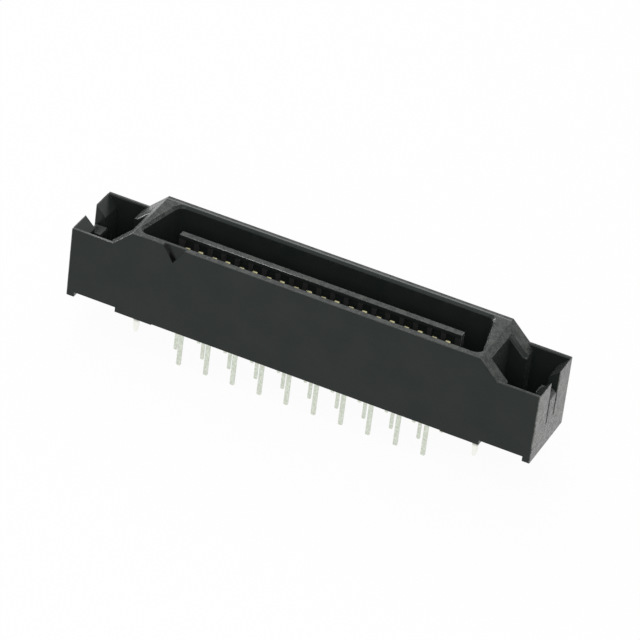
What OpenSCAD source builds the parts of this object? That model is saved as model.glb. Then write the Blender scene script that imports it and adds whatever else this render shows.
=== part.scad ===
// Board mount shrouded header with a central contact tongue.
// The board plane is z = 0. X runs along the rows, the first contact is at -X,
// and the long face with the triangle mark looks to -Y.

/* [Contacts] */
// contacts on each side of the tongue
side_count = 20; // [10:1:26]
// distance between neighbouring contacts of one side
contact_pitch = 1.27; // [1:0.01:2.54]
// distance between neighbouring rows of tails in the board
row_pitch = 1.905; // [1.27:0.005:2.54]
// width of a contact strip
strip_w = 0.4; // [0.25:0.01:0.6]
// thickness of a contact strip
strip_t = 0.22; // [0.15:0.01:0.4]
// length of the tails below the board plane
tail_l = 3.37; // [1.5:0.01:4.5]
// length of the wedge at the end of a tail
tail_point = 0.3; // [0.1:0.05:0.8]
// size of the end of a tail against its full section
tail_end = 0.45; // [0.2:0.05:1]
// height of the contact tip, tails of the outer rows
tip_z_outer = 6.86; // [6:0.01:7.3]
// height of the contact tip, tails of the inner rows
tip_z_inner = 6.72; // [6:0.01:7.3]
// how far the contacts bow out of the tongue
bow_out = 0.64; // [0.1:0.01:0.8]
// height of the level run under the floor
run_z = 0.74; // [0.5:0.01:1.2]
// inside radius of the bends of the strip
bend_r = 0.12; // [0.05:0.01:0.3]

/* [Body] */
// distance from the last contact to the end of the housing
end_zone = 9.515; // [8:0.005:14]
// depth over the two long walls
body_w = 6.88; // [6:0.01:10]
// height of the low walls round the latch pockets
wall_h = 6.76; // [4:0.01:9]
// height of the shroud rim
rim_h = 8.42; // [5:0.01:12]
// length of each foot under the ends
foot_l = 0.72; // [0.4:0.01:2]
// clear height between a foot and the next pad
foot_gap_h = 0.45; // [0.1:0.01:1]
// where the pads start, from the end of the housing
pad_from = 4.62; // [3:0.01:7]
// length of each pad
pad_l = 3.5; // [1:0.01:6]
// how far the middle of the underside stays clear of the board
middle_lift = 0.12; // [0.05:0.01:0.5]
// radius of the long rim edges
rim_edge = 0.06; // [0.02:0.01:0.2]

/* [Mating cavity] */
// height of the cavity floor
cavity_floor = 2; // [1.2:0.05:4]
// front wall to the mouth of the cavity
front_wall = 0.6; // [0.4:0.01:1.2]
// back wall to the mouth of the cavity
back_wall = 0.47; // [0.35:0.01:1.2]
// centre of the front corner arcs, from the last contact
front_arc_x = 2.915; // [2:0.005:5]
// radius of the two front corners of the mouth
front_arc_r = 0.87; // [0.4:0.01:2]
// centre of the back corner arcs, from the last contact
back_arc_x = 1.935; // [1:0.005:4]
// radius of the two back corners of the mouth
back_arc_r = 1; // [0.4:0.01:2]
// size of the bevel round the mouth
lead_in = 0.25; // [0.05:0.01:0.5]
// straight pieces in each corner arc
arc_steps = 8; // [4:1:16]

/* [Tongue] */
// height of the top of the tongue
tongue_h = 7.7; // [5:0.01:8.4]
// thickness of the tongue over its ribs
tongue_t = 0.66; // [0.5:0.01:1.5]
// thickness left between two opposite grooves
core_t = 0.28; // [0.2:0.01:0.8]
// height of the closed bar along the top
bar_h = 0.36; // [0.2:0.01:1]
// width of a rib between two grooves
rib_w = 0.4; // [0.2:0.01:0.7]
// tongue past the last contact
tongue_over = 0.985; // [0.7:0.005:2]
// size of the bevel along the top of the tongue
tongue_bevel = 0.06; // [0.02:0.01:0.12]

/* [Shroud ends] */
// where the rim ends, from the end of the housing
rim_in = 5.58; // [4:0.01:8]
// angle of the shoulders that fall from the rim
shoulder_angle = 44; // [30:1:60]
// end face of the shroud, from the end of the housing
shroud_in = 5.06; // [4:0.01:8]
// ends of the shoulders, from the end of the housing
shoulder_in = 3.33; // [2.5:0.01:5]
// thickness of the front shoulders
front_shoulder = 1.27; // [0.6:0.01:2]
// thickness of the back shoulders
back_shoulder = 1.74; // [0.6:0.01:2]
// size of the bevel along the inner edge of the back shoulders
shoulder_bevel = 0.38; // [0.1:0.01:0.8]
// drop from the end of a back shoulder to the ledge where its bevel stops
bevel_stop = 0.05; // [0.02:0.01:0.3]

/* [Latch pockets] */
// thickness of the side walls of a pocket
pocket_wall = 0.35; // [0.3:0.01:1]
// size of the bevel along the mouth of a pocket
pocket_lead = 0.1; // [0.05:0.01:0.2]
// thickness of the end walls below their slope
end_wall = 1; // [0.6:0.01:2]
// height of the pocket floor
pocket_floor = 1.6; // [1:0.05:4]
// width of the notch over the spring tab
notch_w = 1.9; // [1.4:0.01:3]
// width of the spring tab
tab_w = 1.3; // [0.8:0.01:2]
// width of the slot on each side of the tab
tab_slot = 0.2; // [0.15:0.01:0.4]
// height where the slots beside the tab end
slot_z = 2.5; // [1.8:0.01:4]
// thickness of the tab
tab_t = 0.7; // [0.4:0.01:1]
// how far the hook of the tab stands off the outer face
hook_reach = 1.48; // [1.1:0.01:2.2]
// height of the top of the hook
hook_z = 5.07; // [4:0.01:6]

/* [Triangle mark] */
// half width of the mark at the rim
mark_half_w = 1; // [0.5:0.05:2]
// height of the mark
mark_h = 1.5; // [0.8:0.05:3]
// depth of the mark
mark_d = 0.33; // [0.1:0.01:0.5]

/* [Board locks] */
// distance of the locks from the middle, from the last contact
lock_over = 3.83; // [3:0.01:5]
// depth position of the locks
lock_y = -1; // [-2:0.01:2]
// width of a lock above its barb
lock_w = 0.44; // [0.3:0.01:1]
// width of a lock over its barb
lock_barb_w = 0.56; // [0.4:0.01:1.4]
// thickness of a lock
lock_t = 0.3; // [0.2:0.01:0.6]
// length of the locks below the board plane
lock_l = 2.95; // [1.5:0.01:4]
// how far a lock runs up into its pad
lock_up = 2.4; // [1:0.05:4]

/* [Hidden] */
// clearance round the strips and the locks
fit_gap = 0.03;
// overlap of a cut past the surface that it opens
over = 0.2;
last_x = (side_count - 1) * contact_pitch / 2;
half_l = last_x + end_zone;
half_w = body_w / 2;
front_y = -half_w;
shoulder_fall = tan(shoulder_angle);
open_z = max(rim_h, wall_h) + over;
rim_x = half_l - rim_in;
shroud_x = half_l - shroud_in;
shoulder_x = half_l - shoulder_in;
shoulder_foot_x = rim_x + (rim_h - wall_h) / shoulder_fall;
pocket_x = half_l - end_wall;
pocket_y = half_w - pocket_wall;
mouth_front = front_y + front_wall;
mouth_back = half_w - back_wall;
leg_d = core_t / 2 + strip_t / 2;
outer_d = 1.5 * row_pitch;
inner_d = 0.5 * row_pitch;
groove_w = contact_pitch - rib_w;
lock_x = last_x + lock_over;

plastic = "#343634";
gold = "#c8a850";
steel = "#b9bbb6";

// names of the contacts of one side, counted from the triangle mark
function two_digits(i) = str(i < 10 ? "0" : "", i);
function contact_name(side, i) = str("contact_", side, "_", two_digits(i));
function contact_x(i) = (i - 1) * contact_pitch - last_x;
// tails step out on every second contact, one place later at the front than at the back
function steps_out(side, i) = (side == "front") == (i % 2 == 0);

// Plane geometry

// points of an arc, both ends included
function arc(c, r, from, to, steps) =
    [for (k = [0:steps]) let (a = from + (to - from) * k / steps) c + r * [cos(a), sin(a)]];

function unit(v) = v / norm(v);
function turned(v) = [-v[1], v[0]];

// offset of an open path at point i, measured so that the strip keeps its thickness in bends
function mitre(path, i) =
    let (last = len(path) - 1,
         a = unit(i == 0 ? path[1] - path[0] : path[i] - path[i - 1]),
         b = unit(i == last ? path[last] - path[last - 1] : path[i + 1] - path[i]),
         m = unit(turned(a + b)))
    m / (m * turned(a));

// closed outline of a strip of thickness t along a path
function strip(path, t) = concat(
    [for (i = [0:len(path) - 1]) path[i] + mitre(path, i) * t / 2],
    [for (i = [len(path) - 1:-1:0]) path[i] - mitre(path, i) * t / 2]);

// outline of the cavity, drawn in by g: a wide front, a narrower back, four rounded corners
front_c = [last_x + front_arc_x, mouth_front + front_arc_r];
back_c = [last_x + back_arc_x, mouth_back - back_arc_r];
side_v = back_c - front_c;
side_a = atan2(side_v[1], side_v[0]) - acos((front_arc_r - back_arc_r) / norm(side_v));
function mirrored_x(p) = [-p[0], p[1]];
function cavity_outline(g) =
    let (right = concat(
            arc(front_c, front_arc_r - g, -90, side_a, arc_steps),
            arc(back_c, back_arc_r - g, side_a, 90, arc_steps)))
    concat(right, [for (k = [len(right) - 1:-1:0]) mirrored_x(right[k])]);

// solid between two outlines with the same number of points, the first one below
module loft(low, z_low, high, z_high) {
    n = len(low);
    polyhedron(
        points = concat(
            [for (p = low) [p[0], p[1], z_low]],
            [for (p = high) [p[0], p[1], z_high]]),
        faces = concat(
            [[for (k = [0:n - 1]) k]],
            [[for (k = [n - 1:-1:0]) n + k]],
            [for (k = [0:n - 1]) [k, n + k, n + (k + 1) % n, (k + 1) % n]]));
}

// prism over an outline in the XZ plane, between two depths
module along_y(outline, y_from, y_to)
    translate([0, y_to, 0]) rotate([90, 0, 0]) linear_extrude(y_to - y_from) polygon(outline);

// prism over an outline in the YZ plane, centred on x
module along_x(outline, x, w)
    translate([x - w / 2, 0, 0]) rotate([90, 0, 90]) linear_extrude(w) polygon(outline);

// box between two corners
module block(a, b) translate(a) cube(b - a);

// one child at each end of the housing
module both_ends() {
    children();
    mirror([1, 0, 0]) children();
}

// Housing

// side view: feet, pads and the raised middle below, low walls and the shroud above
function right_profile() = [
    [half_l - pad_from - pad_l, middle_lift], [half_l - pad_from - pad_l, 0],
    [half_l - pad_from, 0], [half_l - pad_from, foot_gap_h],
    [half_l - foot_l, foot_gap_h], [half_l - foot_l, 0],
    [half_l, 0], [half_l, wall_h],
    [shoulder_foot_x, wall_h], [rim_x, rim_h]];

module blank()
    along_y(concat(right_profile(),
        [for (k = [len(right_profile()) - 1:-1:0]) mirrored_x(right_profile()[k])]),
        front_y, half_w);

// mating cavity with its bevelled mouth
module cavity() {
    translate([0, 0, cavity_floor])
        linear_extrude(rim_h - cavity_floor - lead_in + over / 2) polygon(cavity_outline(lead_in));
    loft(cavity_outline(lead_in), rim_h - lead_in, cavity_outline(-over), rim_h + over);
}

// height of the slope of the shoulders, which runs on below the low walls
function slope_z(x) = rim_h - (x - rim_x) * shoulder_fall;
slope_end = max(shoulder_x, shoulder_foot_x) + over;

// latch pocket behind the end wall, its mouth opened by the slope of the wall
module pocket() {
    block([shroud_x, front_y + front_shoulder, pocket_floor],
          [shoulder_x + over, half_w - back_shoulder, open_z]);
    block([shoulder_x, -pocket_y, pocket_floor], [pocket_x, pocket_y, open_z]);
    along_y([[shoulder_foot_x, wall_h], [slope_end, slope_z(slope_end)],
             [slope_end, wall_h + over], [shoulder_foot_x, wall_h + over]], -pocket_y, pocket_y);
    for (s = [-1, 1]) scale([1, s, 1])
        along_x([[pocket_y, wall_h - pocket_lead], [pocket_y + pocket_lead, wall_h],
                 [pocket_y + pocket_lead, wall_h + over], [pocket_y, wall_h + over]],
                (shoulder_foot_x + half_l + over) / 2, half_l + over - shoulder_foot_x);
    intersection() {
        multmatrix([[1, 0, 0, 0], [0, 1, 0, 0], [-shoulder_fall, 0, 1, slope_z(0)]])
            along_x([[half_w - back_shoulder, -shoulder_bevel],
                     [half_w - back_shoulder + shoulder_bevel, 0],
                     [half_w - back_shoulder + shoulder_bevel, over],
                     [half_w - back_shoulder - over, over], [half_w - back_shoulder - over, -shoulder_bevel]],
                    (shroud_x + shoulder_x + over) / 2, shoulder_x + over - shroud_x);
        block([shroud_x, 0, slope_z(shoulder_x) - bevel_stop], [shoulder_x + over, half_w, open_z]);
    }
    along_y([[pocket_x - over, wall_h - end_wall - over], [half_l + over, wall_h + over],
             [half_l + over, open_z], [pocket_x - over, open_z]], -pocket_y, pocket_y);
}

// notch in the end wall, narrowing to the foot of the slots that free the spring tab
module tab_cut() {
    low = tab_w / 2 + tab_slot;
    high = notch_w / 2;
    along_x([[-low, slot_z], [low, slot_z], [high, wall_h], [high, wall_h + over],
             [-high, wall_h + over], [-high, wall_h]], (pocket_x + half_l) / 2, end_wall + 2 * over);
}

// spring tab: a thin blade, a ramp on top and a hook that points into the pocket
module tab()
    along_y([
        [half_l, slot_z - over], [half_l, hook_z - 0.32], [half_l - 0.33, hook_z],
        [half_l - hook_reach + 0.14, hook_z], [half_l - hook_reach + 0.04, hook_z - 0.06],
        [half_l - hook_reach, hook_z - 0.18], [half_l - hook_reach + 0.05, hook_z - 0.38],
        [half_l - tab_t, hook_z - 1.05], [half_l - tab_t, slot_z], [pocket_x, slot_z - over]],
        -tab_w / 2, tab_w / 2);

module tongue() {
    side = tongue_t / 2;
    difference() {
        along_x([[-side, cavity_floor - over], [side, cavity_floor - over],
                 [side, tongue_h - tongue_bevel], [side - tongue_bevel, tongue_h],
                 [tongue_bevel - side, tongue_h], [-side, tongue_h - tongue_bevel]],
                0, 2 * (last_x + tongue_over));
        for (i = [1:side_count], s = [-1, 1])
            translate([contact_x(i) - groove_w / 2, s > 0 ? core_t / 2 : -side - over, cavity_floor])
                cube([groove_w, side - core_t / 2 + over, tongue_h - bar_h - cavity_floor]);
    }
}

// opening for one strip: down through the floor beside the tongue, then out under the floor
module strip_cut(x, s, d) {
    top = run_z + strip_t / 2;
    inner = core_t / 2;
    wall = inner + strip_t + fit_gap;
    outer = d + strip_t / 2 + fit_gap;
    outline = [[inner, cavity_floor + over], [inner, -over], [outer, -over], [outer, top],
               [wall + bend_r, top], [wall, top + bend_r], [wall, cavity_floor + over]];
    scale([1, s, 1]) along_x(outline, x, strip_w + 2 * fit_gap);
}

module triangle_mark()
    translate([-last_x, 0, 0])
        along_y([[0, rim_h - mark_h], [mark_half_w * (1 + over / mark_h), rim_h + over],
                 [-mark_half_w * (1 + over / mark_h), rim_h + over]], front_y - over, front_y + mark_d);

module lock_cut()
    block([lock_x - lock_w / 2 - fit_gap, lock_y - lock_t / 2 - fit_gap, -over],
          [lock_x + lock_w / 2 + fit_gap, lock_y + lock_t / 2 + fit_gap, lock_up]);

// narrow bevel along the outer edges of the rim
module rim_bevel(s)
    scale([1, s, 1])
        along_x([[half_w - rim_edge, rim_h + over], [half_w - rim_edge, rim_h],
                 [half_w, rim_h - rim_edge], [half_w + over, rim_h - rim_edge],
                 [half_w + over, rim_h + over]], 0, 2 * rim_x + over);

module housing() color(plastic) {
    difference() {
        union() {
            difference() {
                blank();
                cavity();
                both_ends() pocket();
                both_ends() tab_cut();
                triangle_mark();
                for (s = [-1, 1]) rim_bevel(s);
            }
            tongue();
            both_ends() tab();
        }
        for (i = [1:side_count]) {
            strip_cut(contact_x(i), -1, steps_out("front", i) ? outer_d : inner_d);
            strip_cut(contact_x(i), 1, steps_out("back", i) ? outer_d : inner_d);
        }
        both_ends() lock_cut();
    }
}

// Contacts

// middle line of a contact, d is the distance from the middle of the tongue
function contact_path(out) =
    let (tip = out ? tip_z_outer : tip_z_inner,
         d = out ? outer_d : inner_d,
         r = bend_r + strip_t / 2,
         b = leg_d + bow_out)
    concat(
        [[leg_d + 0.1, tip], [leg_d + 0.26, tip - 0.05], [b - 0.08, tip - 0.2], [b, tip - 0.45],
         [b, tip - 0.7], [b - 0.12, tip - 1.25], [leg_d + 0.04, tip - 2.1], [leg_d, tip - 2.5]],
        arc([leg_d + r, run_z + r], r, 180, 270, 4),
        arc([d - r, run_z - r], r, 90, 0, 4),
        [[d, -tail_l + tail_point]]);

// rectangle round the origin
function rectangle(w, t) = [[-w, -t] / 2, [w, -t] / 2, [w, t] / 2, [-w, t] / 2];

// one strip, its tail wedged at the end
module contact(side, i) {
    out = steps_out(side, i);
    s = side == "front" ? -1 : 1;
    x = contact_x(i);
    y = s * (out ? outer_d : inner_d);
    outline = [for (p = strip(contact_path(out), strip_t)) [s * p[0], p[1]]];
    color(gold) {
        along_x(outline, x, strip_w);
        translate([x, y, 0])
            loft(rectangle(strip_w, strip_t) * tail_end, -tail_l,
                 rectangle(strip_w, strip_t), -tail_l + tail_point);
    }
}

// Board locks

// barbed steel strip, seen from the front
module board_lock(side) color(steel) {
    x = side == "left" ? -lock_x : lock_x;
    w = lock_w / 2;
    b = lock_barb_w / 2;
    translate([x, 0, 0])
        along_y([[-w, lock_up], [-w, -0.6], [-b, -0.95], [-b, -1.45], [-w * 0.82, -lock_l + 0.24],
                 [-w * 0.42, -lock_l], [w * 0.42, -lock_l], [w * 0.82, -lock_l + 0.24], [b, -1.45],
                 [b, -0.95], [w, -0.6], [w, lock_up]], lock_y - lock_t / 2, lock_y + lock_t / 2);
}

housing();
for (side = ["front", "back"], i = [1:side_count])
    contact(side, i);
board_lock("left");  // board_lock_left
board_lock("right");  // board_lock_right
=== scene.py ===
"""Shrouded board header: black moulding, gold and tin contact strips, two barbed board locks."""

import math

import bmesh
import bpy
from mathutils import Matrix, Vector

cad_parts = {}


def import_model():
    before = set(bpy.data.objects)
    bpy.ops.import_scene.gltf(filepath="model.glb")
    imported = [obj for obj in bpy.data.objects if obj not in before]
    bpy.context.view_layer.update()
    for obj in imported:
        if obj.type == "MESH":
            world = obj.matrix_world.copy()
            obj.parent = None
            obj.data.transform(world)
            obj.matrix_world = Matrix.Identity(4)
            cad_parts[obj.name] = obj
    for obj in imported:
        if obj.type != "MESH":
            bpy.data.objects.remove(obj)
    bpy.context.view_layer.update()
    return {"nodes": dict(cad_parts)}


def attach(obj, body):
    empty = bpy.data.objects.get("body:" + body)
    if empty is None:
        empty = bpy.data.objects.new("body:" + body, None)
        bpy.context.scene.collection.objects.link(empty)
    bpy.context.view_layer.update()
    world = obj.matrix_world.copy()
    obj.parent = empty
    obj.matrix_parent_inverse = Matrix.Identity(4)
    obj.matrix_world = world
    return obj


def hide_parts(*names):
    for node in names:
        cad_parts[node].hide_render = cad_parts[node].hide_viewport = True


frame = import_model()
nodes = frame["nodes"]
MM = 0.001


# Housing
# One moulding of black glass-filled plastic: shroud, cavity, ribbed tongue, latch pockets and
# spring tabs. The mould is spark eroded, so the faces are matt, and every edge is slightly round.

HALF_LENGTH = 21.58
HALF_DEPTH = 3.44
WALL_HEIGHT = 6.76
RIM_HEIGHT = 8.42
RIM_END = 16.0
SHOULDER_FOOT = 17.72
CAVITY_END = 18
CAVITY_FRONT = -2.85
CAVITY_BACK = 2.98
CAVITY_FLOOR = 2.0
TONGUE_END = 13.2
TONGUE_BAR = 7.5
TONGUE_SIDE = 0.33
TAILS_END = 13
TAILS_SIDE = 3.1
MARK_TIP = Vector((-12.065, -3.11, 6.92))
MARK_MIDDLE = Vector((MARK_TIP.x, -3.3, 7.7))
MARK_REACH = 1.1
MARK_LEFT_NORMAL = Vector((-0.8321, 0, -0.5547))

# Radii that the mould leaves on the edges, and what an edge must have to get one
OUTER_EDGE = 0.07
MOUTH_EDGE = 0.045
TONGUE_EDGE = 0.03
FINE_EDGE = 0.02
SHORT_EDGE = 0.12
LONG_EDGE = 20
LEAST_ANGLE = math.radians(24)
NEAR = 0.01

# Where the looks of the plastic change, in mm: across, along and over the board
FRONT_ROUNDING = -3.33
BACK_LINE = 3.0
END_SLOPES = 18.5
RIGHT_END_WEAR_HIGHLIGHT = 14, 16
LEFT_RIDGE = -15.3
WEAR_HIGHLIGHT_START = 6.1
RIM_WEAR_HIGHLIGHT_START = 7.0
RIB_TOP = 7.3
RIDGE_FROM = 7.9

# Colours of the plastic; a pair is the darker and the lighter colour of one pattern
PLAIN_BLACK = (0.0095, 0.0135, 0.0125), (0.0130, 0.0165, 0.0150)
# Painted light: the lighter stipple on faces that look up stands for the light falling on them
STIPPLE_WITH_PAINTED_TOP_LIGHT = (0.010, 0.013, 0.012), (0.046, 0.050, 0.046)
# Painted light: the pale stipple on the end faces stands for the bright reflection they show
ENDS_STIPPLE_AND_PAINTED_LIGHT = (0.07, 0.071, 0.066), (0.185, 0.187, 0.178)
# Painted shadow in the triangle mark
MARK_PAINTED_SHADOW = (0.001, 0.001, 0.001)
GLASS_FLECK = (0.034, 0.038, 0.035)
# Painted light on the front faces of the tongue's ribs
RIB_PAINTED_LIGHT = (0.029, 0.029, 0.028)
# Painted highlight along the back edge of the mouth
RIM_PAINTED_HIGHLIGHT = (0.13, 0.14, 0.135)
# Edge greys: rubbing with painted highlights; the ridge grey is a painted highlight
LOW_WEAR_AND_HIGHLIGHT, RIM_WEAR_AND_HIGHLIGHT, RIDGE_PAINTED_HIGHLIGHT = (0.15, 0.155, 0.15), (0.3, 0.31, 0.3), (0.7, 0.72, 0.7)


def merged_copy(node):
    """Mesh of a solid with its loose triangles joined, and the seams inside plane faces gone."""
    bm = bmesh.new()
    bm.from_mesh(nodes[node].data)
    bmesh.ops.remove_doubles(bm, verts=bm.verts, dist=2e-7)
    bmesh.ops.dissolve_degenerate(bm, edges=bm.edges, dist=2e-7)
    bmesh.ops.dissolve_limit(bm, angle_limit=math.radians(1.5), verts=bm.verts, edges=bm.edges)
    return bm


def edge_radius(edge):
    """Radius that the mould leaves along an edge of the housing, in mm; 0 leaves it sharp."""
    if len(edge.link_faces) != 2 or edge.calc_face_angle(0) < LEAST_ANGLE or not edge.is_convex:
        return 0
    a, b = (v.co / MM for v in edge.verts)
    length = (b - a).length
    x, y, z = abs(a.x + b.x) / 2, (a.y + b.y) / 2, (a.z + b.z) / 2
    side = abs(y)
    at_end, on_face = x > HALF_LENGTH - NEAR, side > HALF_DEPTH - NEAR
    in_cavity = x < CAVITY_END and CAVITY_FRONT < y < CAVITY_BACK

    on_rim = z > RIM_HEIGHT - 0.1 and x < RIM_END + 0.2
    if on_rim and (side > HALF_DEPTH - 0.1 or x > RIM_END - 0.1):
        return FINE_EDGE
    shoulder_foot = x > SHOULDER_FOOT - 0.72 and 3 < side < 3.25
    tail_opening = z < 0.3 and x < TAILS_END and side < TAILS_SIDE
    long_lower = z < 0.3 and on_face and length > LONG_EDGE
    if length < SHORT_EDGE or shoulder_foot or tail_opening or long_lower:
        return 0
    if all(f.normal.z > 0.3 for f in edge.link_faces) and not in_cavity:
        return FINE_EDGE
    beside_mark = y < MARK_TIP.y + 0.17 and abs(x + MARK_TIP.x) < MARK_REACH
    if beside_mark and MARK_TIP.z - 0.12 < z < RIM_HEIGHT - 0.05:
        return 0
    if in_cavity and z < CAVITY_FLOOR + 0.1:
        return 0
    if side < TONGUE_SIDE + 0.07 and x < TONGUE_END:
        return TONGUE_EDGE if z > TONGUE_BAR else FINE_EDGE
    if in_cavity and x < RIM_END + 0.4:
        return MOUTH_EDGE
    if at_end and z > WALL_HEIGHT - 0.06 and side < HALF_DEPTH - 0.24:
        return FINE_EDGE
    if not at_end and not on_face:
        return MOUTH_EDGE
    return OUTER_EDGE


def as_object(name, bm):
    mesh = bpy.data.meshes.new(name)
    bm.to_mesh(mesh)
    bm.free()
    piece = bpy.data.objects.new(name, mesh)
    bpy.context.scene.collection.objects.link(piece)
    return piece


def plain_mesh(piece, name):
    """A new object that holds the finished mesh, with every modifier worked in."""
    bpy.context.view_layer.update()
    done = piece.evaluated_get(bpy.context.evaluated_depsgraph_get())
    mesh = bpy.data.meshes.new_from_object(done)
    mesh.name = name
    bpy.data.objects.remove(piece)
    finished = bpy.data.objects.new(name, mesh)
    bpy.context.scene.collection.objects.link(finished)
    return finished


def rounded(piece, width, segments):
    """Rounds the weighted edges of a piece, and keeps its plane faces looking plane."""
    bevel = piece.modifiers.new("edges", "BEVEL")
    bevel.limit_method = "WEIGHT"
    bevel.offset_type = "OFFSET"
    bevel.width = width * MM
    bevel.segments = segments
    bevel.use_clamp_overlap = False
    bevel.miter_outer = "MITER_ARC"
    for polygon in piece.data.polygons:
        polygon.use_smooth = True
    shade = piece.modifiers.new("normals", "WEIGHTED_NORMAL")
    shade.mode = "FACE_AREA"
    shade.weight = 90
    shade.keep_sharp = True


def housing_moulding():
    """The housing with its edges rounded, each by the radius that belongs to it."""
    body = merged_copy("housing")
    weight = body.edges.layers.float.new("bevel_weight_edge")
    for e in body.edges:
        e[weight] = edge_radius(e) / OUTER_EDGE
        if e[weight] == 0 and len(e.link_faces) == 2 and e.calc_face_angle(0) > LEAST_ANGLE:
            e.smooth = False
    sharp = as_object("housing_moulding_sharp", body)
    rounded(sharp, OUTER_EDGE, 3)
    return plain_mesh(sharp, "housing_moulding")


def group(name, inputs, outputs):
    """Empty shader node group with named sockets."""
    tree = bpy.data.node_groups.new(name, "ShaderNodeTree")
    for label, kind, value in inputs:
        socket = tree.interface.new_socket(label, in_out="INPUT", socket_type=kind)
        socket.default_value = value
    for label, kind in outputs:
        tree.interface.new_socket(label, in_out="OUTPUT", socket_type=kind)
    return tree, tree.nodes.new("NodeGroupInput"), tree.nodes.new("NodeGroupOutput")


def node(tree, kind, **values):
    """Adds a node: plain words set properties, in_N sets input N."""
    made = tree.nodes.new(kind)
    for key, value in values.items():
        if key.startswith("in_"):
            made.inputs[int(key[3:])].default_value = value
        else:
            setattr(made, key, value)
    return made


def feed(tree, socket, value):
    """Links another node's output to a socket, or sets the socket to a plain value."""
    if isinstance(value, bpy.types.NodeSocket):
        tree.links.new(value, socket)
    else:
        socket.default_value = value


def maths(tree, operation, *given):
    made = node(tree, "ShaderNodeMath", operation=operation)
    for socket, value in zip(made.inputs, given):
        feed(tree, socket, value)
    return made.outputs[0]


def product(tree, *masks):
    """Mask that is 1 only where all the given ones are."""
    both = masks[0]
    for mask in masks[1:]:
        both = maths(tree, "MULTIPLY", both, mask)
    return both


def measured(tree, operation, place, other):
    """Distance to a point, or how far a place lies along a direction, in metres."""
    made = node(tree, "ShaderNodeVectorMath", operation=operation)
    feed(tree, made.inputs[0], place)
    feed(tree, made.inputs[1], other)
    return made.outputs["Value"]


def split(tree, vector):
    parts = node(tree, "ShaderNodeSeparateXYZ")
    tree.links.new(vector, parts.inputs[0])
    return parts.outputs


def in_range(tree, value, from_low, from_high, to_low=0, to_high=1):
    made = node(tree, "ShaderNodeMapRange", in_1=from_low, in_2=from_high, in_3=to_low, in_4=to_high)
    tree.links.new(value, made.inputs[0])
    return made.outputs[0]


def past(tree, value, start, blend):
    """Mask of what lies past a place in mm: it goes from 0 to 1 over the given blend."""
    return in_range(tree, value, start * MM, (start + blend) * MM)


def before(tree, value, start, blend):
    """Mask of what lies before a place in mm: it goes from 1 to 0 over the given blend."""
    return in_range(tree, value, start * MM, (start + blend) * MM, 1, 0)


def clouds(tree, place, scale, detail=2.0, roughness=0.5):
    made = node(tree, "ShaderNodeTexNoise")
    feed(tree, made.inputs["Vector"], place)
    feed(tree, made.inputs["Scale"], scale)
    made.inputs["Detail"].default_value = detail
    made.inputs["Roughness"].default_value = roughness
    return made.outputs[0]


def moulded_grain():
    """Fine matt grain of a spark-eroded mould, and the slow unevenness of the plastic."""
    tree, given, out = group(
        "moulded_grain",
        [("Vector", "NodeSocketVector", (0, 0, 0)), ("Grain Size", "NodeSocketFloat", 0.06 * MM)],
        [("Height", "NodeSocketFloat"), ("Unevenness", "NodeSocketFloat"), ("Speckle", "NodeSocketFloat")])
    place = given.outputs["Vector"]
    per_metre = maths(tree, "DIVIDE", 1.0, given.outputs["Grain Size"])
    fine = clouds(tree, place, per_metre, detail=3, roughness=0.6)
    pits = node(tree, "ShaderNodeTexVoronoi", feature="SMOOTH_F1")
    pits.inputs["Smoothness"].default_value = 0.7
    feed(tree, pits.inputs["Vector"], place)
    feed(tree, pits.inputs["Scale"], maths(tree, "MULTIPLY", per_metre, 0.28))
    height = maths(tree, "MULTIPLY_ADD", pits.outputs["Distance"], 0.45, fine)
    tree.links.new(height, out.inputs["Height"])
    tree.links.new(clouds(tree, place, 320, detail=4), out.inputs["Unevenness"])
    tree.links.new(in_range(tree, fine, 0.62, 0.78), out.inputs["Speckle"])
    return tree


def edge_rubbing_and_highlights():
    """Mask of the edges, broken up, where handling polishes or lightens a surface, and where colour is
    lightened as painted highlights on rounded edges.
    """
    tree, given, out = group(
        "edge_rubbing_and_highlights",
        [("Vector", "NodeSocketVector", (0, 0, 0)), ("Width", "NodeSocketFloat", 0.1 * MM),
         ("Patches", "NodeSocketFloat", 9000)],
        [("Mask", "NodeSocketFloat")])
    round_normal = node(tree, "ShaderNodeBevel", samples=4)
    feed(tree, round_normal.inputs["Radius"], given.outputs["Width"])
    true_normal = node(tree, "ShaderNodeNewGeometry").outputs["True Normal"]
    bent = in_range(tree, measured(tree, "DOT_PRODUCT", round_normal.outputs[0], true_normal), 0.995, 0.9)
    patchy = clouds(tree, given.outputs["Vector"], given.outputs["Patches"], detail=3)
    broken = in_range(tree, patchy, 0.35, 0.65, 0.35, 1)
    tree.links.new(product(tree, bent, broken), out.inputs["Mask"])
    return tree


GRAIN, EDGE_RUBBING_AND_HIGHLIGHTS = moulded_grain(), edge_rubbing_and_highlights()


def material(name):
    made = bpy.data.materials.new(name)
    made.use_nodes = True
    tree = made.node_tree
    tree.nodes.clear()
    shader = tree.nodes.new("ShaderNodeBsdfPrincipled")
    output = tree.nodes.new("ShaderNodeOutputMaterial")
    tree.links.new(shader.outputs[0], output.inputs[0])
    place = tree.nodes.new("ShaderNodeTexCoord")
    return made, tree, shader, place.outputs["Object"]


def placed(tree, which, place, **values):
    """Places a node group in a material, with its own values."""
    made = tree.nodes.new("ShaderNodeGroup")
    made.node_tree = which
    tree.links.new(place, made.inputs["Vector"])
    for label, value in values.items():
        made.inputs[label.replace("_", " ")].default_value = value
    return made.outputs


def blend_colours(tree, factor, low, high):
    mix = tree.nodes.new("ShaderNodeMix")
    mix.data_type = "RGBA"
    tree.links.new(factor, mix.inputs[0])
    for socket, colour in ((mix.inputs[6], low), (mix.inputs[7], high)):
        feed(tree, socket, (*colour, 1) if isinstance(colour, tuple) else colour)
    return mix.outputs[2]


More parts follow.
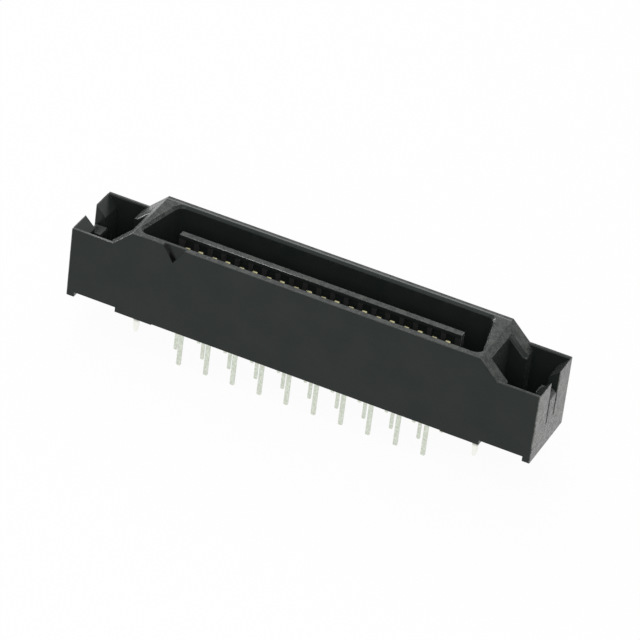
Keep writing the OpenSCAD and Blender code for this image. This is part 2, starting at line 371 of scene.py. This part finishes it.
def bumped(tree, shader, height, strength, depth):
    bump = node(tree, "ShaderNodeBump")
    bump.inputs["Strength"].default_value = strength
    bump.inputs["Distance"].default_value = depth
    tree.links.new(height, bump.inputs["Height"])
    tree.links.new(bump.outputs[0], shader.inputs["Normal"])
    return bump


def stippled_and_lit_faces(tree, at, facing, from_mark):
    """Masks of the end faces, and of these with the faces that look up, where the stipple is coarser and
    the colour is lightened as painted light.
    """
    far_out = maths(tree, "ABSOLUTE", at["X"])
    ends = past(tree, far_out, HALF_LENGTH - 0.1, 0.08)
    looks_up = in_range(tree, facing["Z"], 0.3, 0.6)
    not_in_front = in_range(tree, facing["Y"], -0.6, -0.35)
    inward = maths(tree, "MULTIPLY", at["X"], facing["X"])
    end_slopes = product(tree, before(tree, inward, -8, 3), past(tree, far_out, END_SLOPES, 0.5))
    front_edge = before(tree, at["Y"], FRONT_ROUNDING, 0.08)
    at_rim = past(tree, at["Z"], RIM_HEIGHT - 0.06, 0.04)
    smooth = maths(tree, "MAXIMUM", end_slopes, product(tree, front_edge, at_rim))
    off_mark = past(tree, from_mark, MARK_REACH, 0.1)
    tops = product(tree, looks_up, not_in_front, off_mark, in_range(tree, smooth, 0, 1, 1, 0))
    return ends, maths(tree, "MAXIMUM", ends, tops)


def mark_painted_shadow(tree, place, at, facing, from_mark):
    """Mask of the walls of the triangle mark, and of its floor along the left wall, which get a painted
    shadow.
    """
    in_mark = product(tree, before(tree, from_mark, MARK_REACH - 0.05, 0.05),
                      before(tree, at["Y"], MARK_TIP.y + 0.01, 0.1))
    walls = in_range(tree, facing["Y"], -0.6, -0.5)
    to_left = measured(tree, "DOT_PRODUCT", place, MARK_LEFT_NORMAL)
    beside_wall = past(tree, to_left, MARK_TIP.dot(MARK_LEFT_NORMAL) - 0.38, 0.08)
    floor = product(tree, beside_wall, past(tree, at["Y"], 0.02 - HALF_DEPTH, 0.02))
    return product(tree, in_mark, maths(tree, "MAXIMUM", walls, floor))


def worn_and_highlit_edges(tree, at, facing, wear_and_glints, from_mark):
    """Mask of the upper edges that handling rubs, with painted highlights on them too, less so at the
    right end.
    """
    high_up = past(tree, at["Z"], WEAR_HIGHLIGHT_START, 0.3)
    fewer_at_right = in_range(tree, at["X"], RIGHT_END_WEAR_HIGHLIGHT[0] * MM, RIGHT_END_WEAR_HIGHLIGHT[1] * MM, 1, 0.3)
    not_in_front = in_range(tree, facing["Y"], -0.8, -0.4)
    off_mark = past(tree, from_mark, MARK_REACH + 0.2, 0.2)
    return product(tree, wear_and_glints["Mask"], fewer_at_right, not_in_front, high_up, off_mark)


def worn_and_highlit_grey(tree, at):
    """Grey of an edge with rubbing and painted highlight: paler on the rim, and palest on the ridge at the
    rim's left end, which is a painted highlight.
    """
    rim = blend_colours(tree, past(tree, at["Z"], RIM_WEAR_HIGHLIGHT_START, 0.4), LOW_WEAR_AND_HIGHLIGHT, RIM_WEAR_AND_HIGHLIGHT)
    ridge = product(tree, before(tree, at["X"], LEFT_RIDGE, 0.3), past(tree, at["Z"], RIDGE_FROM, 0.2))
    return blend_colours(tree, ridge, rim, RIDGE_PAINTED_HIGHLIGHT)


def black_plastic():
    """Matt black with glass flecks, coarser on the ends and tops, with rubbing along the upper edges.
    Painted light: lighter ends and tops, a painted shadow in the triangle mark, lighter rib faces, and
    painted highlights behind the mouth and on the upper edges.
    """
    made, tree, shader, place = material("black_glass_filled_plastic")
    at = split(tree, place)
    facing = split(tree, node(tree, "ShaderNodeNewGeometry").outputs["True Normal"])
    grain = placed(tree, GRAIN, place, Grain_Size=0.07 * MM)
    stipple = placed(tree, GRAIN, place, Grain_Size=0.17 * MM)
    wear_and_glints = placed(tree, EDGE_RUBBING_AND_HIGHLIGHTS, place, Width=0.09 * MM, Patches=7000)
    from_mark = measured(tree, "DISTANCE", place, MARK_MIDDLE * MM)
    ends, coarse_and_lit = stippled_and_lit_faces(tree, at, facing, from_mark)

    plain = blend_colours(tree, in_range(tree, grain["Unevenness"], 0.35, 0.65), *PLAIN_BLACK)
    dots = in_range(tree, stipple["Height"], 0.62, 0.8)
    # Painted light: faces that look up get the lighter stipple colour
    colour = blend_colours(tree, coarse_and_lit, plain, blend_colours(tree, dots, *STIPPLE_WITH_PAINTED_TOP_LIGHT))
    # Painted light: the end faces get a pale stipple colour
    colour = blend_colours(tree, ends, colour, blend_colours(tree, dots, *ENDS_STIPPLE_AND_PAINTED_LIGHT))
    # Painted shadow on the walls and floor of the triangle mark
    colour = blend_colours(tree, mark_painted_shadow(tree, place, at, facing, from_mark), colour, MARK_PAINTED_SHADOW)
    colour = blend_colours(tree, grain["Speckle"], colour, GLASS_FLECK)
    # Painted light on the front faces of the ribs
    on_tongue = maths(tree, "COMPARE", maths(tree, "ABSOLUTE", at["Y"]), TONGUE_SIDE * MM, 0.02 * MM)
    painted_rib_light = product(tree, on_tongue, before(tree, at["Z"], RIB_TOP, 0.03))
    colour = blend_colours(tree, painted_rib_light, colour, RIB_PAINTED_LIGHT)
    # Painted highlight line behind the mouth
    behind_mouth = maths(tree, "COMPARE", at["Y"], BACK_LINE * MM, 0.07 * MM)
    painted_rim_highlight = product(tree, behind_mouth, past(tree, at["Z"], RIM_HEIGHT - 0.04, 0.02))
    colour = blend_colours(tree, painted_rim_highlight, colour, RIM_PAINTED_HIGHLIGHT)
    # Rubbing and painted highlights on the upper edges
    worn_and_highlit = worn_and_highlit_edges(tree, at, facing, wear_and_glints, from_mark)
    colour = blend_colours(tree, worn_and_highlit, colour, worn_and_highlit_grey(tree, at))

    tree.links.new(colour, shader.inputs["Base Color"])
    roughness = in_range(tree, grain["Unevenness"], 0.3, 0.7, 0.19, 0.25)
    tree.links.new(roughness, shader.inputs["Roughness"])
    shader.inputs["Specular IOR Level"].default_value = 0.2
    shader.inputs["Specular Tint"].default_value = (0.94, 1.0, 0.97, 1)
    shader.inputs["Sheen Weight"].default_value = 0.04
    shader.inputs["Sheen Roughness"].default_value = 0.6
    fine = bumped(tree, shader, grain["Height"], 0.5, 0.008 * MM)
    rough = node(tree, "ShaderNodeBump")
    rough.inputs["Distance"].default_value = 0.05 * MM
    tree.links.new(coarse_and_lit, rough.inputs["Strength"])
    tree.links.new(stipple["Height"], rough.inputs["Height"])
    tree.links.new(rough.outputs[0], fine.inputs["Normal"])
    return made


moulding = housing_moulding()
moulding.data.materials.clear()
moulding.data.materials.append(black_plastic())
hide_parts("housing")
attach(moulding, "root")


# Contacts
# Forty stamped strips of copper alloy, ten in each row of tails. Each bows out beside the tongue,
# runs level under the floor and drops as a tail. Gold covers the contact faces, dull tin the tails.

SIDE_COUNT = 20
PITCH = 1.27
ROW_PITCH = 1.905
LAST_X = (SIDE_COUNT - 1) * PITCH / 2
STRIP_WIDTH = 0.4
STRIP_THICKNESS = 0.22
STRIP_EDGE = 0.035
TAIL_END = -3.37
TAIL_POINT = 0.08
TAIL_SECTION = {"outer": [0.98, 0.98, 0.72], "inner": [0.78, 0.78, 0.66]}
TIP_SECTION = [0.42, 0.66, 0.88, 1.04, 1.14, 1.18, 1.16, 1.1, 1.05]
TIP = {"outer": 6.86, "inner": 6.72}
TIP_CURL = {"outer": 0.26, "inner": 0.12}
LEG = 0.25
BOW = 0.64
RUN = 0.74
BEND = 0.12 + STRIP_THICKNESS / 2
PLAY = Vector((0.004, 0.008, 0))
LEAN = math.radians(0.25)
GOLD_END = 2.4
# Gold darkened as painted shade
GOLD_WITH_PAINTED_SHADE = (0.16, 0.145, 0.075), (0.25, 0.235, 0.14)
TAIL_TIN = (0.56, 0.60, 0.51), (0.72, 0.76, 0.67)
# Edge colours: rubbing and painted highlights
TIN_WEAR_AND_HIGHLIGHT, GOLD_WEAR_AND_HIGHLIGHT = (0.78, 0.78, 0.72), (0.45, 0.43, 0.29)


def quarter(centre, start, steps=6):
    return [(centre[0] + BEND * math.cos(start + math.pi / 2 * k / steps),
             centre[1] + BEND * math.sin(start + math.pi / 2 * k / steps)) for k in range(steps + 1)]


def eased(points, rounds=2):
    """Cuts the corners of an open path, so that a pressed bow looks pressed and not folded."""
    for _ in range(rounds):
        cut = [points[0]]
        for a, b in zip(points, points[1:]):
            cut += [(a[0] * 0.75 + b[0] * 0.25, a[1] * 0.75 + b[1] * 0.25),
                    (a[0] * 0.25 + b[0] * 0.75, a[1] * 0.25 + b[1] * 0.75)]
        points = cut + [points[-1]]
    return points


def strip_path(row):
    """Middle line of a strip, from its tip to its tail, as distance from the tongue and height."""
    tip, out = TIP[row], ROW_PITCH * (1.5 if row == "outer" else 0.5)
    b = LEG + BOW
    start = LEG + TIP_CURL[row]
    bow = eased([(start, tip - 0.01), (start + 0.14, tip - 0.02), (b - 0.08, tip - 0.26), (b, tip - 0.55),
                 (b, tip - 0.75), (b - 0.12, tip - 1.25), (LEG + 0.04, tip - 2.1), (LEG, tip - 2.5)])
    down = quarter((LEG + BEND, RUN + BEND), math.pi)
    over = quarter((out - BEND, RUN - BEND), 0)[::-1]
    return bow + down + over + [(out, 0.2), (out, TAIL_END + TAIL_POINT), (out, TAIL_END)]


def path_object(row):
    """The path of one strip of the front side as a chain of edges, with the size of its section."""
    points = strip_path(row)
    mesh = bpy.data.meshes.new("path_" + row)
    mesh.from_pydata([(0, -d * MM, z * MM) for d, z in points],
                     [(k, k + 1) for k in range(len(points) - 1)], [])
    size = mesh.attributes.new("section", "FLOAT", "POINT")
    plain = len(points) - len(TIP_SECTION) - len(TAIL_SECTION[row])
    size.data.foreach_set("value", TIP_SECTION + [1.0] * plain + TAIL_SECTION[row])
    made = bpy.data.objects.new("path_" + row, mesh)
    bpy.context.scene.collection.objects.link(made)
    return made


def strip_row_tree():
    """Sweeps a rounded strip along a path, and repeats it along X with small press tolerances."""
    tree = bpy.data.node_groups.new("strip_row", "GeometryNodeTree")
    for label, kind, value in (
            ("Path", "NodeSocketGeometry", None), ("Width", "NodeSocketFloat", STRIP_WIDTH * MM),
            ("Thickness", "NodeSocketFloat", STRIP_THICKNESS * MM),
            ("Edge Radius", "NodeSocketFloat", STRIP_EDGE * MM),
            ("Count", "NodeSocketInt", SIDE_COUNT // 2), ("First", "NodeSocketVector", (0, 0, 0)),
            ("Step", "NodeSocketVector", (2 * PITCH * MM, 0, 0)),
            ("Turn", "NodeSocketVector", (0, 0, 0)), ("Play", "NodeSocketVector", (0, 0, 0)),
            ("Lean", "NodeSocketVector", (0, 0, 0)), ("Seed", "NodeSocketInt", 0),
            ("Finish", "NodeSocketMaterial", None)):
        socket = tree.interface.new_socket(label, in_out="INPUT", socket_type=kind)
        if value is not None:
            socket.default_value = value
    tree.interface.new_socket("Strips", in_out="OUTPUT", socket_type="NodeSocketGeometry")
    given, out = tree.nodes.new("NodeGroupInput"), tree.nodes.new("NodeGroupOutput")
    link = tree.links.new

    line = tree.nodes.new("GeometryNodeMeshToCurve")
    link(given.outputs["Path"], line.inputs[0])
    upright = node(tree, "GeometryNodeSetCurveNormal", mode="FREE")
    upright.inputs["Normal"].default_value = (1, 0, 0)
    link(line.outputs[0], upright.inputs[0])
    section = tree.nodes.new("GeometryNodeCurvePrimitiveQuadrilateral")
    link(given.outputs["Width"], section.inputs["Width"])
    link(given.outputs["Thickness"], section.inputs["Height"])
    soft = node(tree, "GeometryNodeFilletCurve", mode="POLY")
    soft.inputs["Count"].default_value = 3
    link(section.outputs[0], soft.inputs[0])
    link(given.outputs["Edge Radius"], soft.inputs["Radius"])
    size = node(tree, "GeometryNodeInputNamedAttribute", data_type="FLOAT")
    size.inputs["Name"].default_value = "section"
    sweep = tree.nodes.new("GeometryNodeCurveToMesh")
    sweep.inputs["Fill Caps"].default_value = True
    link(upright.outputs[0], sweep.inputs["Curve"])
    link(soft.outputs[0], sweep.inputs["Profile Curve"])
    link(size.outputs["Attribute"], sweep.inputs["Scale"])

    row = node(tree, "GeometryNodeMeshLine", mode="OFFSET")
    link(given.outputs["Count"], row.inputs["Count"])
    link(given.outputs["First"], row.inputs["Start Location"])
    link(given.outputs["Step"], row.inputs["Offset"])
    strips = tree.nodes.new("GeometryNodeInstanceOnPoints")
    link(row.outputs[0], strips.inputs["Points"])
    link(sweep.outputs[0], strips.inputs["Instance"])
    link(given.outputs["Turn"], strips.inputs["Rotation"])

    def scattered(limit, step):
        """A vector for each strip, between minus and plus the given limit."""
        least = node(tree, "ShaderNodeVectorMath", operation="SCALE")
        least.inputs["Scale"].default_value = -1
        link(given.outputs[limit], least.inputs[0])
        seed = maths(tree, "ADD", given.outputs["Seed"], step)
        value = node(tree, "FunctionNodeRandomValue", data_type="FLOAT_VECTOR")
        link(least.outputs[0], value.inputs["Min"])
        link(given.outputs[limit], value.inputs["Max"])
        link(seed, value.inputs["Seed"])
        return value.outputs[0]

    shifted = tree.nodes.new("GeometryNodeTranslateInstances")
    link(strips.outputs[0], shifted.inputs["Instances"])
    link(scattered("Play", 1), shifted.inputs["Translation"])
    leaning = tree.nodes.new("GeometryNodeRotateInstances")
    link(shifted.outputs[0], leaning.inputs["Instances"])
    link(scattered("Lean", 2), leaning.inputs["Rotation"])
    real = tree.nodes.new("GeometryNodeRealizeInstances")
    link(leaning.outputs[0], real.inputs[0])
    finish = tree.nodes.new("GeometryNodeSetMaterial")
    link(real.outputs[0], finish.inputs["Geometry"])
    link(given.outputs["Finish"], finish.inputs["Material"])
    link(finish.outputs[0], out.inputs["Strips"])
    return tree


def drawn_lines(tree, place, scale, detail):
    """Fine lines that rolls or a die leave in a strip, from a pattern stretched along it."""
    stretched = node(tree, "ShaderNodeMapping")
    stretched.inputs["Scale"].default_value = scale
    tree.links.new(place, stretched.inputs["Vector"])
    return clouds(tree, stretched.outputs[0], 1, detail)


def strip_plating():
    """Gold from the tip to under the floor, dull tin below, both with the drag lines of the die. The gold
    is darkened as painted shade, and the edges are lightened by rubbing and painted highlights.
    """
    made, tree, shader, place = material("gold_and_tin_plating")
    lines = drawn_lines(tree, place, (22000, 22000, 900), 3)
    cloud = clouds(tree, place, 2600, 4)
    spots = in_range(tree, clouds(tree, place, 5000), 0.35, 0.65)
    wear_and_glints = placed(tree, EDGE_RUBBING_AND_HIGHLIGHTS, place, Width=0.04 * MM, Patches=12000)
    ragged = maths(tree, "MULTIPLY_ADD", cloud, 0.4 * MM, split(tree, place)["Z"])
    golden = past(tree, ragged, GOLD_END, 0.2)
    # Gold darkened as painted shade
    plated = blend_colours(tree, golden, blend_colours(tree, spots, *TAIL_TIN),
                           blend_colours(tree, cloud, *GOLD_WITH_PAINTED_SHADE))
    # Edges lightened by rubbing and painted highlights
    plating_wear_and_highlight = blend_colours(tree, golden, TIN_WEAR_AND_HIGHLIGHT, GOLD_WEAR_AND_HIGHLIGHT)
    tree.links.new(blend_colours(tree, wear_and_glints["Mask"], plated, plating_wear_and_highlight), shader.inputs["Base Color"])
    shader.inputs["Metallic"].default_value = 1
    roughness = node(tree, "ShaderNodeMix", data_type="FLOAT")
    tree.links.new(golden, roughness.inputs[0])
    tree.links.new(in_range(tree, lines, 0.3, 0.7, 0.34, 0.46), roughness.inputs[2])
    tree.links.new(in_range(tree, lines, 0.3, 0.7, 0.2, 0.3), roughness.inputs[3])
    tree.links.new(roughness.outputs[0], shader.inputs["Roughness"])
    bumped(tree, shader, lines, 0.35, 0.002 * MM)
    return made


TREE, PLATING = strip_row_tree(), strip_plating()
SOCKETS = {s.name: s.identifier for s in TREE.interface.items_tree if s.in_out == "INPUT"}


def strip_row(side, row, seed):
    """One row of ten strips; the back side is the front one turned half round."""
    first = 2 if (side == "front") == (row == "outer") else 1
    path = path_object(row)
    repeat = path.modifiers.new("row", "NODES")
    repeat.node_group = TREE
    for label, value in (("First", ((first - 1) * PITCH * MM - LAST_X * MM, 0, 0)),
                         ("Turn", (0, 0, 0 if side == "front" else math.pi)),
                         ("Play", PLAY * MM), ("Lean", (0, 0, LEAN)), ("Seed", seed), ("Finish", PLATING)):
        repeat[SOCKETS[label]] = value
    strips = plain_mesh(path, f"contacts_{side}_{row}")
    for polygon in strips.data.polygons:
        polygon.use_smooth = True
    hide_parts(*[f"contact_{side}_{i:02d}" for i in range(first, SIDE_COUNT + 1, 2)])
    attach(strips, "root")


strip_row("front", "outer", seed=7)
strip_row("front", "inner", seed=17)
strip_row("back", "inner", seed=27)
strip_row("back", "outer", seed=37)


# Board locks
# Two strips of tin-plated steel, stamped with a barb and pressed up into the pads. The barb grips
# the board while the tails are soldered.

LOCK_X = LAST_X + 3.83
LOCK_Y = -1
LOCK_THICKNESS = 0.3
LOCK_EDGE = 0.03
LOCK_OUTLINE = [(0.22, 2.4), (0.22, -0.6), (0.28, -0.95), (0.28, -1.45), (0.18, -2.71), (0.092, -2.95)]
BRIGHT_TIN = (0.86, 0.87, 0.80), (0.96, 0.96, 0.92)
# Painted shade where the lock comes out of the pad; the second colour is rubbing on the edges
LOCK_PAINTED_SHADE, WORN_LOCK = (0.34, 0.34, 0.33), (0.8, 0.8, 0.78)


def lock_steel():
    """Bright tin on the barb, darkened to grey as painted shade where the strip comes out of the pad."""
    made, tree, shader, place = material("tinned_lock_steel")
    lines = drawn_lines(tree, place, (16000, 16000, 1400), 4)
    wear_and_glints = placed(tree, EDGE_RUBBING_AND_HIGHLIGHTS, place, Width=0.04 * MM, Patches=9000)
    bright = blend_colours(tree, clouds(tree, place, 2100), *BRIGHT_TIN)
    # Painted shade at the top of the lock, where it comes out of the pad
    tin = blend_colours(tree, past(tree, split(tree, place)["Z"], -1.95, 0.25), bright, LOCK_PAINTED_SHADE)
    tree.links.new(blend_colours(tree, wear_and_glints["Mask"], tin, WORN_LOCK), shader.inputs["Base Color"])
    shader.inputs["Metallic"].default_value = 1
    tree.links.new(in_range(tree, lines, 0.3, 0.7, 0.32, 0.48), shader.inputs["Roughness"])
    bumped(tree, shader, lines, 0.4, 0.003 * MM)
    return made


def board_lock(side, x, steel):
    """One lock, stamped from its outline, with its edges rounded a little."""
    bm = bmesh.new()
    outline = LOCK_OUTLINE + [(-half, z) for half, z in LOCK_OUTLINE[::-1]]
    front = (LOCK_Y - LOCK_THICKNESS / 2) * MM
    blank = bm.faces.new([bm.verts.new(((x + half) * MM, front, z * MM)) for half, z in outline])
    grown = bmesh.ops.extrude_face_region(bm, geom=[blank])
    far = [v for v in grown["geom"] if isinstance(v, bmesh.types.BMVert)]
    bmesh.ops.translate(bm, verts=far, vec=(0, LOCK_THICKNESS * MM, 0))
    bmesh.ops.recalc_face_normals(bm, faces=bm.faces)
    weight = bm.edges.layers.float.new("bevel_weight_edge")
    for e in bm.edges:
        e[weight] = 1.0 if e.calc_face_angle(0) > math.radians(50) else 0.0
    sharp = as_object("lock_sharp", bm)
    rounded(sharp, LOCK_EDGE, 2)
    lock = plain_mesh(sharp, f"barbed_lock_{side}")
    lock.data.materials.append(steel)
    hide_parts(f"board_lock_{side}")
    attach(lock, "root")


LOCK_STEEL = lock_steel()
board_lock("left", -LOCK_X, LOCK_STEEL)
board_lock("right", LOCK_X, LOCK_STEEL)


# Studio
# White table and surroundings. A large soft light stands in front and one hangs over the left
# side; a low one at the left and three weak ones behind bring out the far walls and the ends.

TABLE_RADIUS = 1.5
TABLE_WHITE = (0.86, 0.86, 0.86, 1)
TABLE_SHARE_OF_WHITE = 0.95
WORLD_STRENGTH = 0.45
LAMP_DISTANCE = 0.5


def only_seen(tree):
    """1 for what the camera, a reflection or a clear material sees, and 0 for lighting."""
    path = tree.nodes.new("ShaderNodeLightPath").outputs
    either = maths(tree, "MAXIMUM", path["Is Camera Ray"], path["Is Glossy Ray"])
    return maths(tree, "MAXIMUM", either, path["Is Transmission Ray"])


def white_surroundings(strength):
    world = bpy.data.worlds.new("surroundings")
    bpy.context.scene.world = world
    world.use_nodes = True
    tree = world.node_tree
    tree.nodes.clear()
    light = node(tree, "ShaderNodeBackground", in_0=(1, 1, 1, 1), in_1=strength)
    seen = node(tree, "ShaderNodeBackground", in_0=(1, 1, 1, 1), in_1=1.0)
    mix, out = tree.nodes.new("ShaderNodeMixShader"), tree.nodes.new("ShaderNodeOutputWorld")
    tree.links.new(only_seen(tree), mix.inputs[0])
    tree.links.new(light.outputs[0], mix.inputs[1])
    tree.links.new(seen.outputs[0], mix.inputs[2])
    tree.links.new(mix.outputs[0], out.inputs[0])


def table():
    """Round white table, a hair below the tails, which shows as white and keeps the shadow."""
    bm = bmesh.new()
    bmesh.ops.create_circle(bm, cap_ends=True, segments=96, radius=TABLE_RADIUS)
    bmesh.ops.translate(bm, verts=bm.verts, vec=(0, 0, (TAIL_END - 0.01) * MM))
    top = as_object("table", bm)
    made = bpy.data.materials.new("white_table")
    made.use_nodes = True
    tree = made.node_tree
    tree.nodes.clear()
    matt = node(tree, "ShaderNodeBsdfDiffuse", in_0=TABLE_WHITE)
    white = node(tree, "ShaderNodeEmission", in_0=(1, 1, 1, 1), in_1=1.0)
    mix, out = tree.nodes.new("ShaderNodeMixShader"), tree.nodes.new("ShaderNodeOutputMaterial")
    share = maths(tree, "MULTIPLY", only_seen(tree), TABLE_SHARE_OF_WHITE)
    tree.links.new(share, mix.inputs[0])
    tree.links.new(matt.outputs[0], mix.inputs[1])
    tree.links.new(white.outputs[0], mix.inputs[2])
    tree.links.new(mix.outputs[0], out.inputs[0])
    top.data.materials.append(made)


def softbox(name, azimuth, height, size, power):
    """Square soft light aimed at the object; azimuth 0 stands in front, 90 at the right."""
    a, h = math.radians(azimuth), math.radians(height)
    back = Vector((math.sin(a) * math.cos(h), -math.cos(a) * math.cos(h), math.sin(h)))
    lamp = bpy.data.lights.new(name, "AREA")
    lamp.shape, lamp.size, lamp.energy = "SQUARE", size, power
    made = bpy.data.objects.new(name, lamp)
    bpy.context.scene.collection.objects.link(made)
    made.location = back * LAMP_DISTANCE + Vector((0, 0, 0.004))
    made.rotation_mode = "QUATERNION"
    made.rotation_quaternion = (-back).to_track_quat("-Z", "Y")


white_surroundings(WORLD_STRENGTH)
table()
softbox("key", azimuth=18, height=36, size=0.36, power=0.98)
softbox("overhead", azimuth=315, height=74, size=0.36, power=0.55)
softbox("low_left", azimuth=255, height=6, size=0.2, power=1.93)
softbox("behind", azimuth=198, height=36, size=0.2, power=0.14)
softbox("above_behind", azimuth=207, height=60, size=0.2, power=0.25)
softbox("behind_right", azimuth=150, height=20, size=0.2, power=0.06)


# Camera
# Long lens, in front and 21 degrees to the right, looking down by 35 degrees and rolled by 7.


def camera(azimuth, elevation, roll, distance, target, lens):
    """Camera aimed at a point in mm, from a distance in mm; azimuth 0 stands in front."""
    a, e, r = (math.radians(v) for v in (azimuth, elevation, roll))
    back = Vector((math.sin(a) * math.cos(e), -math.cos(a) * math.cos(e), math.sin(e)))
    right = (-back).cross(Vector((0, 0, 1))).normalized()
    up = right.cross(-back)
    turned_right = right * math.cos(r) + up * math.sin(r)
    turned_up = up * math.cos(r) - right * math.sin(r)
    optics = bpy.data.cameras.new("camera")
    optics.sensor_width, optics.lens = 36, lens
    optics.clip_start, optics.clip_end = 0.01, 10
    made = bpy.data.objects.new("camera", optics)
    bpy.context.scene.collection.objects.link(made)
    turn = Matrix((turned_right, turned_up, back)).transposed()
    made.matrix_world = Matrix.Translation((Vector(target) + back * distance) * MM) @ turn.to_4x4()
    bpy.context.scene.camera = made


camera(azimuth=21.368, elevation=34.623, roll=7.344,
       distance=375.532, target=(0.337, 0, 4.029), lens=252.93)
bpy.context.scene.view_settings.view_transform = "Standard"
